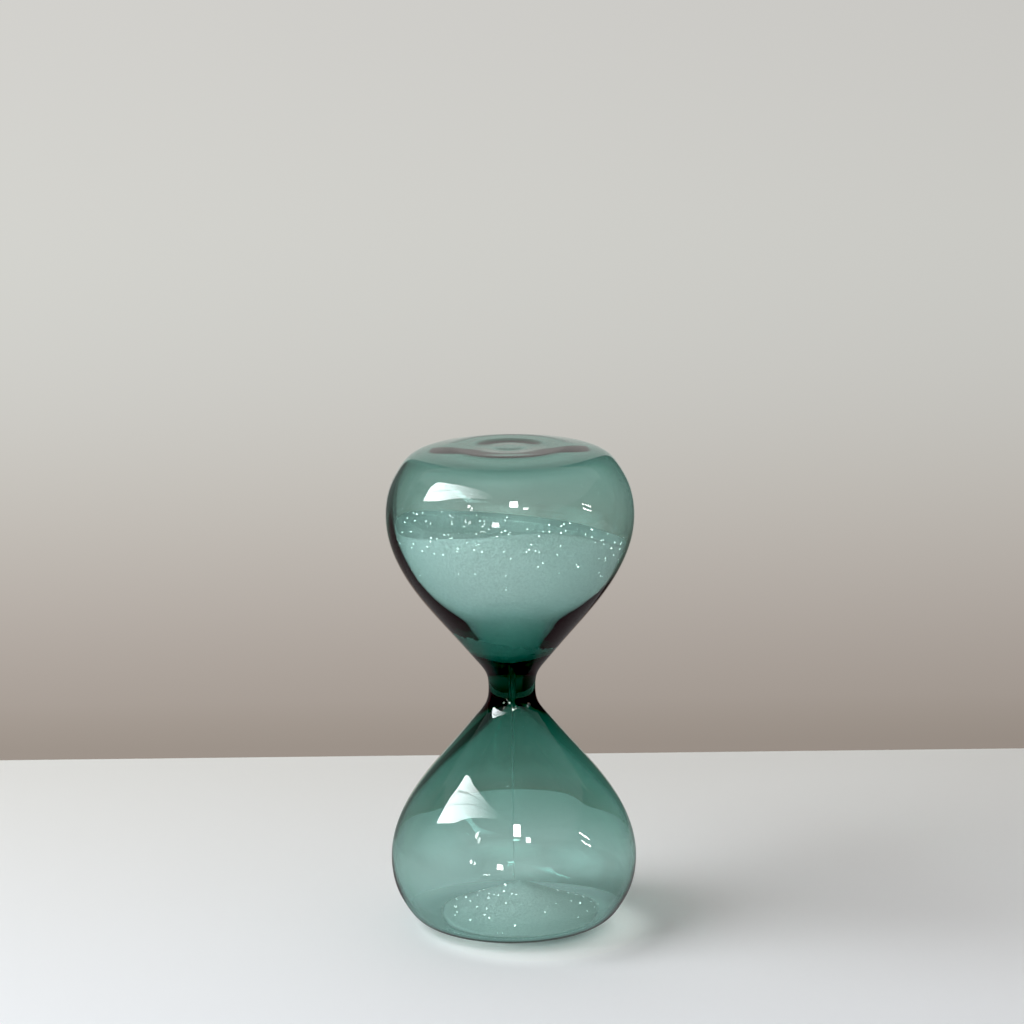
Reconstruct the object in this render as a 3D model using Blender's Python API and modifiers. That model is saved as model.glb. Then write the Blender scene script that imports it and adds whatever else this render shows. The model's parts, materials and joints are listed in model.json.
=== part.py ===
"""Hourglass: two blown glass bulbs fused at a thick waist, a sealed fill hole, and the sand inside.

Metres, +Z up. The object stands on the table at z = 0 with its axis on the Z axis.
Profiles are lists of (radius, height) in millimetres, with the height measured from the waist's centre.
"""

import math

import bmesh
import bpy
import numpy as np

MM = 0.001
HALF_HEIGHT = 70.0  # waist centre to either end
GAP = 0.3  # left between pieces that touch
AROUND = 40  # segments of the glass and the sand charges
AROUND_SMALL = 16  # segments of the seal, the throat sand and the stream
OUTER_STEPS = 2  # points made from each stretch of the outer profile

# Outer surface, the same above and below the waist: funnel, belly, shoulder and gently domed end
OUTER = [
    (6.7, 0.0),
    (7.2, 3.8),
    (10.0, 8.0),
    (15.0, 14.0),
    (21.0, 21.0),
    (27.3, 29.0),
    (32.0, 37.0),
    (34.7, 45.0),
    (35.1, 52.5),
    (33.6, 59.0),
    (31.5, 63.0),
    (28.6, 66.6),
    (24.5, 68.5),
    (20.0, 69.4),
]
RING_OUTER = 16.0  # the flat ring that the timer rests on, at either end
RING_INNER = 13.6
DISH = [(10.6, 69.3), (8.6, 68.5), (5.6, 68.3)]  # the pressed-in middle of either end

# Inner surface from the middle of the belly to the end, the same in both bulbs
CAVITY_END = [
    (29.4, 37.0),
    (32.4, 44.5),
    (33.0, 51.5),
    (31.7, 57.6),
    (29.4, 61.6),
    (26.4, 64.6),
    (22.5, 66.3),
    (17.5, 67.5),
    (13.6, 67.5),
    (9.4, 66.4),
    (5.6, 66.1),
]
CAVITY_TOP_HEIGHT = 66.1  # inner surface on the axis
UPPER_CAVITY = [(3.6, 8.2), (6.7, 9.5), (8.5, 11.5), (11.6, 15.5), (17.0, 22.0), (23.9, 29.4)]
LOWER_CAVITY = [(2.2, 5.4), (5.0, 8.4), (8.5, 12.2), (12.7, 17.0), (17.6, 22.7), (24.1, 29.8)]
BORE_RADIUS = 0.75
BORE_TOP = 7.6
BORE_BOTTOM = -4.2

FUSE_TOP = 12.5  # the planes where the waist was fused to the bulbs
FUSE_BOTTOM = -8.5

FILL_HOLE_RADIUS = 3.6
SEAL_CAP = [(0.0, 0.7), (2.6, 0.63), (4.2, 0.25)]  # the cap's low dome above its flat underside

# Sand in the upper bulb: its top is higher at the front left and falls into a shallow crater
SAND_LEVEL = 44.3
SAND_TILT_X = -0.105
SAND_TILT_Y = -0.06
CRATER_DEPTH = 6.0
CRATER_RADIUS = 23.0
SAND_NOSE = 8.7  # height of the charge's blunt lower end
SAND_WALL_RINGS = 9
SAND_RING_CROWDING = 1.5  # above 1 draws the rings on the wall together towards the lower end
RIM_ROUNDS = 12  # steps that settle where the sand's top meets the wall
SAND_TOP_RINGS = (0.84, 0.66, 0.48, 0.3, 0.14)

# Heap in the lower bulb, as heights above the table
HEAP_TOP = [(0.0, 12.3), (2.6, 11.7), (8.0, 9.2), (15.0, 6.1), (19.6, 4.4), (21.6, 3.75)]
HEAP_RADIUS = 21.6

THREAD_RADIUS = 0.45  # of the sand in the bore and of the falling stream

GLASS_COLOUR = (0.20, 0.42, 0.36, 1.0)
SEAL_COLOUR = (0.26, 0.48, 0.42, 1.0)
SAND_COLOUR = (0.86, 0.87, 0.84, 1.0)


def clear_scene():
    for obj in list(bpy.data.objects):
        bpy.data.objects.remove(obj)


def material(name, colour, roughness, transmission=0.0):
    made = bpy.data.materials.new(name)
    made.use_nodes = True
    made.diffuse_color = colour
    shader = made.node_tree.nodes["Principled BSDF"]
    shader.inputs["Base Color"].default_value = colour
    shader.inputs["Roughness"].default_value = roughness
    shader.inputs["Metallic"].default_value = 0.0
    shader.inputs["Transmission Weight"].default_value = transmission
    shader.inputs["IOR"].default_value = 1.5
    return made


def glass(name, colour=GLASS_COLOUR):
    return material(name, colour, roughness=0.02, transmission=1.0)


def sand(name):
    return material(name, SAND_COLOUR, roughness=0.8)


def smooth_curve(points, steps):
    """A Catmull-Rom curve through the points, with each stretch cut into steps."""
    knots = [np.array(p, float) for p in points]
    ends = [2 * knots[0] - knots[1]] + knots + [2 * knots[-1] - knots[-2]]
    curve = []
    for a, b, c, d in zip(ends, ends[1:], ends[2:], ends[3:]):
        for i in range(steps):
            t = i / steps
            bend = (2 * a - 5 * b + 4 * c - d) * t**2 + (3 * b - a - 3 * c + d) * t**3
            curve.append(tuple(0.5 * (2 * b + (c - a) * t + bend)))
    return curve + [tuple(points[-1])]


OUTER_CURVE = smooth_curve(OUTER + [(RING_OUTER, HALF_HEIGHT)], OUTER_STEPS)
END_CURVE = [(RING_INNER, HALF_HEIGHT)] + DISH
UPPER_CAVITY_CURVE = [(BORE_RADIUS, BORE_TOP)] + UPPER_CAVITY + CAVITY_END
LOWER_CAVITY_CURVE = [(BORE_RADIUS, -BORE_BOTTOM)] + LOWER_CAVITY + CAVITY_END


def radius_at(curve, height):
    """The curve's radius at a height between the waist and the belly."""
    rising = [curve[0]]
    for point in curve[1:]:
        if point[1] <= rising[-1][1]:
            break
        rising.append(point)
    return float(np.interp(height, [p[1] for p in rising], [p[0] for p in rising]))


def beyond(curve, height):
    """The curve from a height to its end, starting with the point at that height."""
    return [(radius_at(curve, height), height)] + [p for p in curve if p[1] > height + GAP]


def short_of(curve, height):
    """The curve from its start up to a height, ending with the point at that height."""
    rest = [p for p in curve if p[1] < height - GAP]
    return rest + [(radius_at(curve, height), height)]


def flipped(curve):
    """The curve mirrored to the other side of the waist."""
    return [(radius, -height) for radius, height in curve]


def add_object(name, mesh, look):
    mesh.materials.append(look)
    made = bpy.data.objects.new(name, mesh)
    COLLECTION.objects.link(made)
    return made


def turned(name, profile, look, around=AROUND, closed=True):
    """A profile turned about the Z axis; it runs down its outer side, and closes on itself or on the axis."""
    points = [(radius * MM, 0.0, (HALF_HEIGHT + height) * MM) for radius, height in profile]
    edges = [(i, i + 1) for i in range(len(points) - 1)]
    if closed:
        edges.append((len(points) - 1, 0))
    mesh = bpy.data.meshes.new(name)
    mesh.from_pydata(points, edges, [])
    made = add_object(name, mesh, look)
    screw = made.modifiers.new("Turn", "SCREW")
    screw.axis = "Z"
    screw.steps = around
    screw.render_steps = around
    screw.use_merge_vertices = True
    screw.merge_threshold = 0.00001
    screw.use_smooth_shade = True
    return made


def rounded_bar(name, radius, bottom, top, look):
    """A thin upright rod of sand between two heights."""
    profile = [(0, top), (radius, top), (radius, bottom), (0, bottom)]
    return turned(name, profile, look, AROUND_SMALL, closed=False)


def lofted(name, rings, look):
    """A closed body through rings of equal length, listed from the bottom up, with a fan on each end."""
    form = bmesh.new()
    rows = [[form.verts.new(point) for point in ring] for ring in rings]
    count = len(rings[0])
    for low, high in zip(rows, rows[1:]):
        for i in range(count):
            j = (i + 1) % count
            form.faces.new((low[i], low[j], high[j], high[i]))
    for row, direction in ((rows[0], -1), (rows[-1], 1)):
        middle = form.verts.new(np.mean([vert.co for vert in row], axis=0))
        for i in range(count):
            edge = (row[i], row[(i + 1) % count])[::direction]
            form.faces.new((*edge, middle))
    for face in form.faces:
        face.smooth = True
    mesh = bpy.data.meshes.new(name)
    form.to_mesh(mesh)
    form.free()
    return add_object(name, mesh, look)


def upper_bulb():
    crown = [(FILL_HOLE_RADIUS, DISH[-1][1])] + END_CURVE[::-1]
    outside = beyond(OUTER_CURVE, FUSE_TOP + GAP)[::-1]
    inside = beyond(UPPER_CAVITY_CURVE, FUSE_TOP + GAP) + [(FILL_HOLE_RADIUS, CAVITY_TOP_HEIGHT)]
    turned("upper_bulb", crown + outside + inside, glass("upper_bulb_glass"))


def lower_bulb():
    outside = flipped(beyond(OUTER_CURVE, GAP - FUSE_BOTTOM))
    foot = flipped(END_CURVE) + [(0, -DISH[-1][1])]
    inside = flipped(beyond(LOWER_CAVITY_CURVE, GAP - FUSE_BOTTOM))[::-1]
    profile = [(0, -CAVITY_TOP_HEIGHT)] + inside + outside + foot
    turned("lower_bulb", profile, glass("lower_bulb_glass"), closed=False)


def neck():
    above = short_of(OUTER_CURVE, FUSE_TOP)
    below = flipped(short_of(OUTER_CURVE, -FUSE_BOTTOM))
    funnel = flipped(short_of(LOWER_CAVITY_CURVE, -FUSE_BOTTOM))[::-1]
    cup = short_of(UPPER_CAVITY_CURVE, FUSE_TOP)
    turned("neck", above[::-1] + below[1:] + funnel + cup, glass("neck_glass"))


def fill_seal():
    """The fused button: a stem in the fill hole under a low cap."""
    stem = FILL_HOLE_RADIUS - GAP
    under = DISH[-1][1] + GAP
    dome = [(radius, under + height) for radius, height in SEAL_CAP]
    cap_edge = (SEAL_CAP[-1][0], under)
    sides = [cap_edge, (stem, under), (stem, CAVITY_TOP_HEIGHT), (0, CAVITY_TOP_HEIGHT)]
    turned("fill_seal", dome + sides, glass("seal_glass", SEAL_COLOUR), AROUND_SMALL, closed=False)


def sand_surface(x, y):
    """Height of the upper sand's top above the waist, in millimetres."""
    share = min(1.0, math.hypot(x, y) / CRATER_RADIUS)
    crater = CRATER_DEPTH * (1 - share * share * (3 - 2 * share))
    return SAND_LEVEL + SAND_TILT_X * x + SAND_TILT_Y * y - crater


def sand_rim(angle):
    """Radius and height where the upper sand's top meets the glass in one direction."""
    height = SAND_LEVEL
    for _ in range(RIM_ROUNDS):
        radius = radius_at(UPPER_CAVITY_CURVE, height) - GAP
        height = sand_surface(radius * math.cos(angle), radius * math.sin(angle))
    return radius, height


def upper_sand():
    angles = [2 * math.pi * i / AROUND for i in range(AROUND)]
    rims = [sand_rim(angle) for angle in angles]
    rings = []
    for step in range(SAND_WALL_RINGS + 1):
        share = step / SAND_WALL_RINGS
        ring = []
        for angle, (_, rim_height) in zip(angles, rims):
            height = SAND_NOSE + (rim_height - SAND_NOSE) * share**SAND_RING_CROWDING
            radius = radius_at(UPPER_CAVITY_CURVE, height) - GAP
            ring.append((radius * math.cos(angle), radius * math.sin(angle), height))
        rings.append(ring)
    for share in SAND_TOP_RINGS:
        ring = []
        for angle, (rim_radius, _) in zip(angles, rims):
            x = share * rim_radius * math.cos(angle)
            y = share * rim_radius * math.sin(angle)
            ring.append((x, y, sand_surface(x, y)))
        rings.append(ring)
    placed = [[(x * MM, y * MM, (HALF_HEIGHT + height) * MM) for x, y, height in ring] for ring in rings]
    lofted("upper_sand", placed, sand("upper_sand_grains"))


def heap_floor():
    """The heap's underside, just clear of the bulb's floor, from its edge to the axis."""
    floor = [(radius, GAP - height) for radius, height in CAVITY_END if radius < HEAP_RADIUS]
    return floor + [(0, GAP - CAVITY_TOP_HEIGHT)]


def lower_sand():
    top = [(radius, height - HALF_HEIGHT) for radius, height in HEAP_TOP]
    turned("lower_sand", top + heap_floor(), sand("lower_sand_grains"), closed=False)


def throat_sand():
    rounded_bar("throat_sand", THREAD_RADIUS, BORE_BOTTOM, BORE_TOP, sand("throat_sand_grains"))


def sand_stream():
    apex = HEAP_TOP[0][1] - HALF_HEIGHT
    rounded_bar("sand_stream", THREAD_RADIUS, apex + GAP, BORE_BOTTOM - GAP, sand("stream_grains"))


clear_scene()
COLLECTION = bpy.data.collections.new("hourglass")
bpy.context.scene.collection.children.link(COLLECTION)
upper_bulb()
neck()
lower_bulb()
fill_seal()
upper_sand()
throat_sand()
sand_stream()
lower_sand()
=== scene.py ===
"""Looks of the hourglass: one blown vessel, glittering white sand, a pale table by a window."""

import json
import math
import random

import bmesh
import bpy
import numpy as np
from mathutils import Euler, Matrix, Vector, noise


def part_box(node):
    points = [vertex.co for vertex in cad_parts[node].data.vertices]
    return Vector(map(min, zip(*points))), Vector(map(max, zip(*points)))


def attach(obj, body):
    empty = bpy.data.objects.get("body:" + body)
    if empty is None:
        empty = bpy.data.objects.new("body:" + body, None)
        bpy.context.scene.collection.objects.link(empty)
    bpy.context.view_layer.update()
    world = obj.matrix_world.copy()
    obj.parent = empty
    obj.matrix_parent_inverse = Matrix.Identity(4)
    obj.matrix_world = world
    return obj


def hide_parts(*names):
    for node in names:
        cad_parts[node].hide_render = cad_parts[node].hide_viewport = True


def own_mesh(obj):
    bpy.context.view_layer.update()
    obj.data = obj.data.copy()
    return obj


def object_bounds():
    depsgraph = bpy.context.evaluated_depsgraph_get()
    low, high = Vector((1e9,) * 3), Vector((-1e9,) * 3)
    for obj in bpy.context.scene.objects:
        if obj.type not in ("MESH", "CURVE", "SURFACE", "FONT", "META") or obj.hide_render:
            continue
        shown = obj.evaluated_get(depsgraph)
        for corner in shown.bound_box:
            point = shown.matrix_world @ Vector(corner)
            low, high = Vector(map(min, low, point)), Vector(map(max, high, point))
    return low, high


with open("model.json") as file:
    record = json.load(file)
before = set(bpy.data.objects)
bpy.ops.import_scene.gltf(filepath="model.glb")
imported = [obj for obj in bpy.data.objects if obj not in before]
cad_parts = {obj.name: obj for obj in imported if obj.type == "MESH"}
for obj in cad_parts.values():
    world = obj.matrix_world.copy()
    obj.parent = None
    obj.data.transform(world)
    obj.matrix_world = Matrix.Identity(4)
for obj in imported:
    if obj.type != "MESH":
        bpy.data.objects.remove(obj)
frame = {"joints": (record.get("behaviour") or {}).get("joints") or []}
cad_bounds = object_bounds()

MM = 0.001
LOW, HIGH = (np.array(corner) for corner in cad_bounds)
HALF_HEIGHT = (HIGH[2] - LOW[2]) / 2 / MM
WAIST_Z = (HIGH[2] + LOW[2]) / 2
BULB_LOW, BULB_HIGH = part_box("upper_bulb")
BULB_RADIUS = (BULB_HIGH[0] - BULB_LOW[0]) / 2 / MM
THROAT_LOW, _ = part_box("throat_sand")
STREAM_LOW, STREAM_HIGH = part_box("sand_stream")
TRAVEL = {joint["name"]: joint["range_m"][1] for joint in frame["joints"]}
UPPER_TRAVEL = TRAVEL["upper_sand_shift"] / MM

# ---------------------------------------------------------------- profiles, heights from the waist

# Everything up to the table is in mm, and becomes metres in place() or by MM.


OUTER_SIDE = [  # (radius, height), from the middle of the waist to the flat ring at either end
    (6.7, 0.0), (7.2, 3.8), (10.0, 8.0), (15.0, 14.0), (21.0, 21.0), (27.3, 29.0), (32.0, 37.0),
    (34.7, 45.0), (35.1, 52.5), (33.6, 59.0), (31.5, 63.0), (28.6, 66.6), (24.5, 68.5),
    (20.0, 69.4), (16.0, 70.0), (13.6, 70.0),
]
CROWN_DISH = [  # the crown's pressed-in middle, with the mark of the fill seal
    (12.0, 70.0), (10.6, 69.98), (9.4, 69.89), (6.4, 69.62), (5.2, 69.6), (4.2, 69.66),
    (3.4, 69.72), (0.0, 69.74),
]
FOOT_DISH = [(10.6, 69.6), (8.6, 69.2), (5.6, 69.0), (0.0, 68.9)]
FLAT_CROWN = [(11.0, 70.0), (8.0, 70.0), (4.0, 70.0), (0.0, 70.0)]  # what the cavity follows
UPPER_WALL = [  # (height of the outer surface, thickness of the wall there)
    (11.0, 3.05), (14.0, 2.7), (18.0, 2.22), (22.0, 1.75), (26.0, 1.28), (30.0, 1.0), (37.0, 0.9),
    (45.0, 0.9), (52.0, 0.95), (58.0, 1.0), (62.0, 1.1), (66.5, 1.3), (68.4, 1.45), (69.3, 1.55),
    (71.0, 1.6),
]
LOWER_WALL = [
    (8.0, 3.7), (12.0, 3.1), (16.0, 2.65), (20.0, 2.3), (24.0, 2.05), (28.0, 1.85), (32.0, 1.55),
    (37.0, 1.25), (45.0, 0.9), (52.0, 0.8), (58.0, 0.85), (62.0, 0.9), (66.5, 0.95), (69.0, 1.0),
    (71.0, 1.0),
]
UPPER_CUP = [(0.75, 9.4), (3.6, 9.9), (7.2, 11.4)]  # (radius, height) where each cavity starts
LOWER_MOUTH = [(0.75, 4.2), (2.2, 5.4), (4.0, 7.2)]
GLASS_AROUND = 128
PROFILE_SPACING = 0.8  # between rings of the vessel
WALL_SPACING = 0.1  # between samples of the wall's thickness
CLOSED_RADIUS = 0.4  # a cavity closes with one point inside this radius
LEAST_RADIUS = 0.05  # of a cavity's ring
BOX_MARGIN = 0.01  # by which the vessel stays inside the width of the CAD's bulbs
CROWN_TURN = 66.0  # height up to which each cavity's profile only rises

SWELL = 0.4  # how much thicker the crown is in one curved patch on the viewer's side
SWELL_CENTRE = 21.5  # the patch's edge is an arc round a point this far behind the axis
SWELL_RADIUS = 33.0
SWELL_RISE = 6.0  # widths in which it rises from its edge inwards and falls again
SWELL_FALL = 22.0
SWELL_LIMIT = 22.8  # no swelling beyond this distance from the axis, with a soft edge inside it
SWELL_SOFT = 4.0
SWELL_ABOVE = 60.0

STREAK_AT = math.radians(188)  # the upper bulb's wall is thicker in one upright streak at its left
STREAK_WIDTH = math.radians(14)
STREAK_HEIGHTS = (14.0, 18.0, 22.0, 27.0, 35.0, 45.0, 58.0, 65.0, 68.0)
STREAK_DEPTHS = (0.3, 1.3, 1.7, 1.4, 0.7, 0.45, 0.3, 0.1, 0.0)
WALL_DRIFT = 0.12  # how far the blown wall's thickness wanders
DRIFT_FADE_WAIST = 30.0  # heights over which that fades out at the waist and at the ends
DRIFT_FADE_END = 12.0
DRIFT_AROUND = 1.3  # how fast it changes round the wall
DRIFT_ALONG = 26.0  # and the height in which it changes along the wall
DRIFT_START = 7  # where along its noise it starts


def spline(points, spacing):
    """A natural cubic spline through the points, sampled evenly along its length."""
    knots = np.array(points, float)
    at = np.concatenate([[0.0], np.cumsum(np.hypot(*np.diff(knots, axis=0).T))])
    step = np.diff(at)
    count = len(knots)
    system = np.eye(count)
    right = np.zeros_like(knots)
    for i in range(1, count - 1):
        system[i, i - 1 : i + 2] = step[i - 1], 2 * (step[i - 1] + step[i]), step[i]
        rise, past_rise = knots[i + 1] - knots[i], knots[i] - knots[i - 1]
        right[i] = 6 * (rise / step[i] - past_rise / step[i - 1])
    bend = np.linalg.solve(system, right)
    line = []
    for t in np.linspace(0, at[-1], max(2, int(at[-1] / spacing))):
        i = min(count - 2, int(np.searchsorted(at, t, side="right")) - 1)
        a, b, h = at[i + 1] - t, t - at[i], step[i]
        point = (bend[i] * a**3 + bend[i + 1] * b**3) / (6 * h)
        here, there = knots[i] / h - bend[i] * h / 6, knots[i + 1] / h - bend[i + 1] * h / 6
        point += here * a + there * b
        line.append(point)
    return np.array(line)


def mirrored(points):
    return [(radius, -height) for radius, height in points]


OUTER_LINE = spline(
    CROWN_DISH[::-1] + OUTER_SIDE[::-1] + mirrored(OUTER_SIDE[1:]) + mirrored(FOOT_DISH),
    PROFILE_SPACING,
)
OUTER_LINE[:, 0] *= (BULB_RADIUS - BOX_MARGIN) / OUTER_LINE[:, 0].max()
OUTER_LINE[:, 1] = np.clip(OUTER_LINE[:, 1], -HALF_HEIGHT, HALF_HEIGHT)


def cavity_line(outer, wall, mouth):
    """The cavity's profile: its mouth, then the outer one moved inwards by the wall's thickness."""
    along = np.gradient(outer, axis=0)
    along /= np.hypot(along[:, 0], along[:, 1])[:, None]
    heights, depths = spline(wall, WALL_SPACING).T
    depth = np.interp(outer[:, 1], heights, depths)
    inner = outer + np.column_stack([-along[:, 1], along[:, 0]]) * depth[:, None]
    inner = inner[(outer[:, 1] > heights[0]) & (inner[:, 0] > CLOSED_RADIUS)]
    start = spline(mouth + [tuple(inner[0])], PROFILE_SPACING)[:-1]
    return np.concatenate([start, inner, [(0.0, inner[-1][1])]])


UPPER_LINE = cavity_line(
    spline(OUTER_SIDE + FLAT_CROWN, PROFILE_SPACING / 2), UPPER_WALL, UPPER_CUP
)
LOWER_LINE = cavity_line(spline(OUTER_SIDE + FOOT_DISH, PROFILE_SPACING), LOWER_WALL, LOWER_MOUTH)
UPPER_LINE[:, 0] = np.maximum(UPPER_LINE[:, 0], 0)
LOWER_LINE[:, 0] = np.maximum(LOWER_LINE[:, 0], 0)


def drift(angle, height):
    """How far the cavity's wall is from its profile at a point: its wandering less the streak."""
    fade = min(1.0, abs(height) / DRIFT_FADE_WAIST)
    fade *= min(1.0, (HALF_HEIGHT - abs(height)) / DRIFT_FADE_END)
    x, y = DRIFT_AROUND * math.cos(angle), DRIFT_AROUND * math.sin(angle)
    wander = noise.noise(Vector((x, y, height / DRIFT_ALONG + DRIFT_START)))
    return WALL_DRIFT * fade * wander - streak(angle, height)


def streak(angle, height):
    """How much thicker the upper bulb's wall is in its streak, in mm."""
    if height < STREAK_HEIGHTS[0]:
        return 0.0
    off = (angle - STREAK_AT + math.pi) % math.tau - math.pi
    depth = float(np.interp(height, STREAK_HEIGHTS, STREAK_DEPTHS))
    return depth * math.exp(-0.5 * (off / STREAK_WIDTH) ** 2)


def swell(x, y, height):
    """How much thicker the crown is in a curved patch that rises sharply on the viewer's side."""
    if height < SWELL_ABOVE:
        return 0.0
    inside = SWELL_RADIUS - math.hypot(x, y - SWELL_CENTRE)
    rise = min(1.0, max(0.0, inside / SWELL_RISE))
    fall = 1 - min(1.0, max(0.0, (inside - SWELL_RISE) / SWELL_FALL))
    edge = min(1.0, max(0.0, (SWELL_LIMIT - math.hypot(x, y)) / SWELL_SOFT))
    return SWELL * rise * fall * edge


def cavity_radius(line, height, angle):
    """The cavity's radius at a height from the waist, up to where it turns into the crown."""
    rising = int(np.searchsorted(line[:, 1], CROWN_TURN))
    radius = float(np.interp(height, line[:rising, 1], line[:rising, 0]))
    return radius + drift(angle, height)


def place(radius, angle, height):
    return (radius * math.cos(angle) * MM, radius * math.sin(angle) * MM, WAIST_Z + height * MM)


# ---------------------------------------------------------------- mesh helpers


def mesh_object(name, form, look):
    mesh = bpy.data.meshes.new(name)
    form.normal_update()
    form.to_mesh(mesh)
    form.free()
    mesh.materials.append(look)
    mesh.polygons.foreach_set("use_smooth", [True] * len(mesh.polygons))
    made = bpy.data.objects.new(name, mesh)
    bpy.context.scene.collection.objects.link(made)
    return made


def skin(form, rings, close_low=None, close_high=None, inward=False):
    """Joins rings of points with quads; close_low and close_high are points that cap the ends."""
    rows = [[form.verts.new(point) for point in ring] for ring in rings]
    count = len(rows[0])
    faces = []
    for low, high in zip(rows, rows[1:]):
        for i in range(count):
            j = (i + 1) % count
            faces.append((low[i], low[j], high[j], high[i]))
    for row, middle, upward in ((rows[0], close_low, False), (rows[-1], close_high, True)):
        if middle is None:
            continue
        tip = form.verts.new(middle)
        for i in range(count):
            a, b = row[i], row[(i + 1) % count]
            faces.append((a, b, tip) if upward else (b, a, tip))
    for face in faces:
        form.faces.new(face[::-1] if inward else face)


def angles(count):
    return [2 * math.pi * i / count for i in range(count)]


# ---------------------------------------------------------------- materials


def shader_of(name):
    """A new material with its nodes, its links and its main shader."""
    made = bpy.data.materials.new(name)
    made.use_nodes = True
    return made, made.node_tree.nodes, made.node_tree.links, made.node_tree.nodes["Principled BSDF"]


def noise_node(nodes, links, scale, detail=3.0, roughness=0.5):
    coords = nodes.new("ShaderNodeTexCoord")
    texture = nodes.new("ShaderNodeTexNoise")
    texture.inputs["Scale"].default_value = scale
    texture.inputs["Detail"].default_value = detail
    texture.inputs["Roughness"].default_value = roughness
    links.new(coords.outputs["Object"], texture.inputs["Vector"])
    return texture


GLASS_IOR = 1.5
ABSORB_PER_M = (480.0, 240.0, 277.0)  # how fast the green glass takes red, green and blue


def glass_material():
    made, nodes, links, shader = shader_of("sea_green_glass")
    shader.inputs["Base Color"].default_value = (1.0, 1.0, 1.0, 1.0)
    shader.inputs["Roughness"].default_value = 0.0
    shader.inputs["IOR"].default_value = GLASS_IOR
    shader.inputs["Transmission Weight"].default_value = 1.0
    waves = noise_node(nodes, links, scale=38.0, detail=1.0)
    bump = nodes.new("ShaderNodeBump")
    bump.inputs["Strength"].default_value = 0.05
    bump.inputs["Distance"].default_value = 0.002
    links.new(waves.outputs["Fac"], bump.inputs["Height"])
    links.new(bump.outputs["Normal"], shader.inputs["Normal"])
    density = max(ABSORB_PER_M) * 1.02  # a little over the fastest, so no colour is black
    volume = nodes.new("ShaderNodeVolumeAbsorption")
    volume.inputs["Color"].default_value = (*(1 - rate / density for rate in ABSORB_PER_M), 1.0)
    volume.inputs["Density"].default_value = density
    links.new(volume.outputs["Volume"], nodes["Material Output"].inputs["Volume"])
    return made


def sand_material(name, pale, dark):
    made, nodes, links, shader = shader_of(name)
    grains = noise_node(nodes, links, scale=1700.0, detail=4.0, roughness=0.75)
    ramp = nodes.new("ShaderNodeValToRGB")
    ramp.color_ramp.elements[0].position = 0.36
    ramp.color_ramp.elements[0].color = (*dark, 1.0)
    ramp.color_ramp.elements[1].position = 0.6
    ramp.color_ramp.elements[1].color = (*pale, 1.0)
    links.new(grains.outputs["Fac"], ramp.inputs["Fac"])
    links.new(ramp.outputs["Color"], shader.inputs["Base Color"])
    shader.inputs["Roughness"].default_value = 0.75
    bump = nodes.new("ShaderNodeBump")
    bump.inputs["Strength"].default_value = 0.5
    bump.inputs["Distance"].default_value = 0.0004
    links.new(grains.outputs["Fac"], bump.inputs["Height"])
    links.new(bump.outputs["Normal"], shader.inputs["Normal"])
    return made


def glint_glow_material():
    made, nodes, links, shader = shader_of("glowing_glint_grain")
    shades = noise_node(nodes, links, scale=900.0, detail=0.0)
    ramp = nodes.new("ShaderNodeValToRGB")
    ramp.color_ramp.elements[0].color = (0.75, 0.8, 0.8, 1.0)
    ramp.color_ramp.elements[1].color = (1.0, 1.0, 1.0, 1.0)
    links.new(shades.outputs["Fac"], ramp.inputs["Fac"])
    links.new(ramp.outputs["Color"], shader.inputs["Base Color"])
    shader.inputs["Roughness"].default_value = 0.12
    # Painted glints: the grains glow with light of their own.
    shader.inputs["Emission Color"].default_value = (1.0, 1.0, 1.0, 1.0)
    shader.inputs["Emission Strength"].default_value = 18.0
    return made


# ---------------------------------------------------------------- the vessel


def glass_vessel(look):
    """The bulbs, neck and seal as one fused piece: an outer skin and the cavity's skin."""
    form = bmesh.new()
    turn = angles(GLASS_AROUND)
    side = OUTER_LINE[-2:0:-1]
    outer = [[place(radius, angle, height) for angle in turn] for radius, height in side]
    skin(form, outer, place(0, 0, OUTER_LINE[-1][1]), place(0, 0, OUTER_LINE[0][1]))
    inner = np.concatenate([LOWER_LINE[-2::-1] * (1, -1), UPPER_LINE[:-1]])
    rings = []
    for radius, height in inner:
        ring = []
        for angle in turn:
            reach = max(LEAST_RADIUS, radius + drift(angle, height))
            sag = swell(reach * math.cos(angle), reach * math.sin(angle), height)
            ring.append(place(reach, angle, height - sag))
        rings.append(ring)
    ceiling = place(0, 0, UPPER_LINE[-1][1] - swell(0, 0, UPPER_LINE[-1][1]))
    skin(form, rings, place(0, 0, -LOWER_LINE[-1][1]), ceiling, inward=True)
    vessel = mesh_object("glass_vessel", form, look)
    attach(vessel, "glass")
    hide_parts("upper_bulb", "lower_bulb", "neck", "fill_seal")


# ---------------------------------------------------------------- the upper sand

SAND_LEVEL = 45.4  # height of its top above the waist, before its slope, dunes and crater
SAND_TILT = (-0.12, -0.06)  # rise per mm towards +X and +Y
SAND_DUNES = [(14.0, -34.0, 17.0, 5.8), (-30.0, -16.0, 10.0, -2.0)]  # middle x, y, width, height
CRATER = (-4.0, 3.0)  # where the sand has sunk, how far to each side, how deep and how rounded
CRATER_REACH = (24.0, 20.0)
CRATER_DEPTH = 3.7
CRATER_ROUNDING = 0.4
SAND_NOSE = 10.6  # height of its lowest ring above the waist
NOSE_CAP = 0.1  # by which the cap of its lowest ring bulges down
NOSE_LIFT = 1.5  # by which its lower edge rises at the sides
RIPPLE = 0.12  # height and length of the soft unevenness in the sand
RIPPLE_LENGTH = 6.0
GRAIN = 0.05  # height and length of the grains in its surface
GRAIN_LENGTH = 0.9
SAND_GAP = 0.12  # between the sand and the glass it lies on
PRESSED_HEIGHT = 16.2  # below about this height the sand is pressed against the glass
PRESS_SLOPE = 0.026  # how fast the press deepens downwards, and how deep it gets
PRESS_DEPTH = 0.06
PRESS_LEAN = 0.07  # how much more it presses at the left, and less at the right
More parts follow.
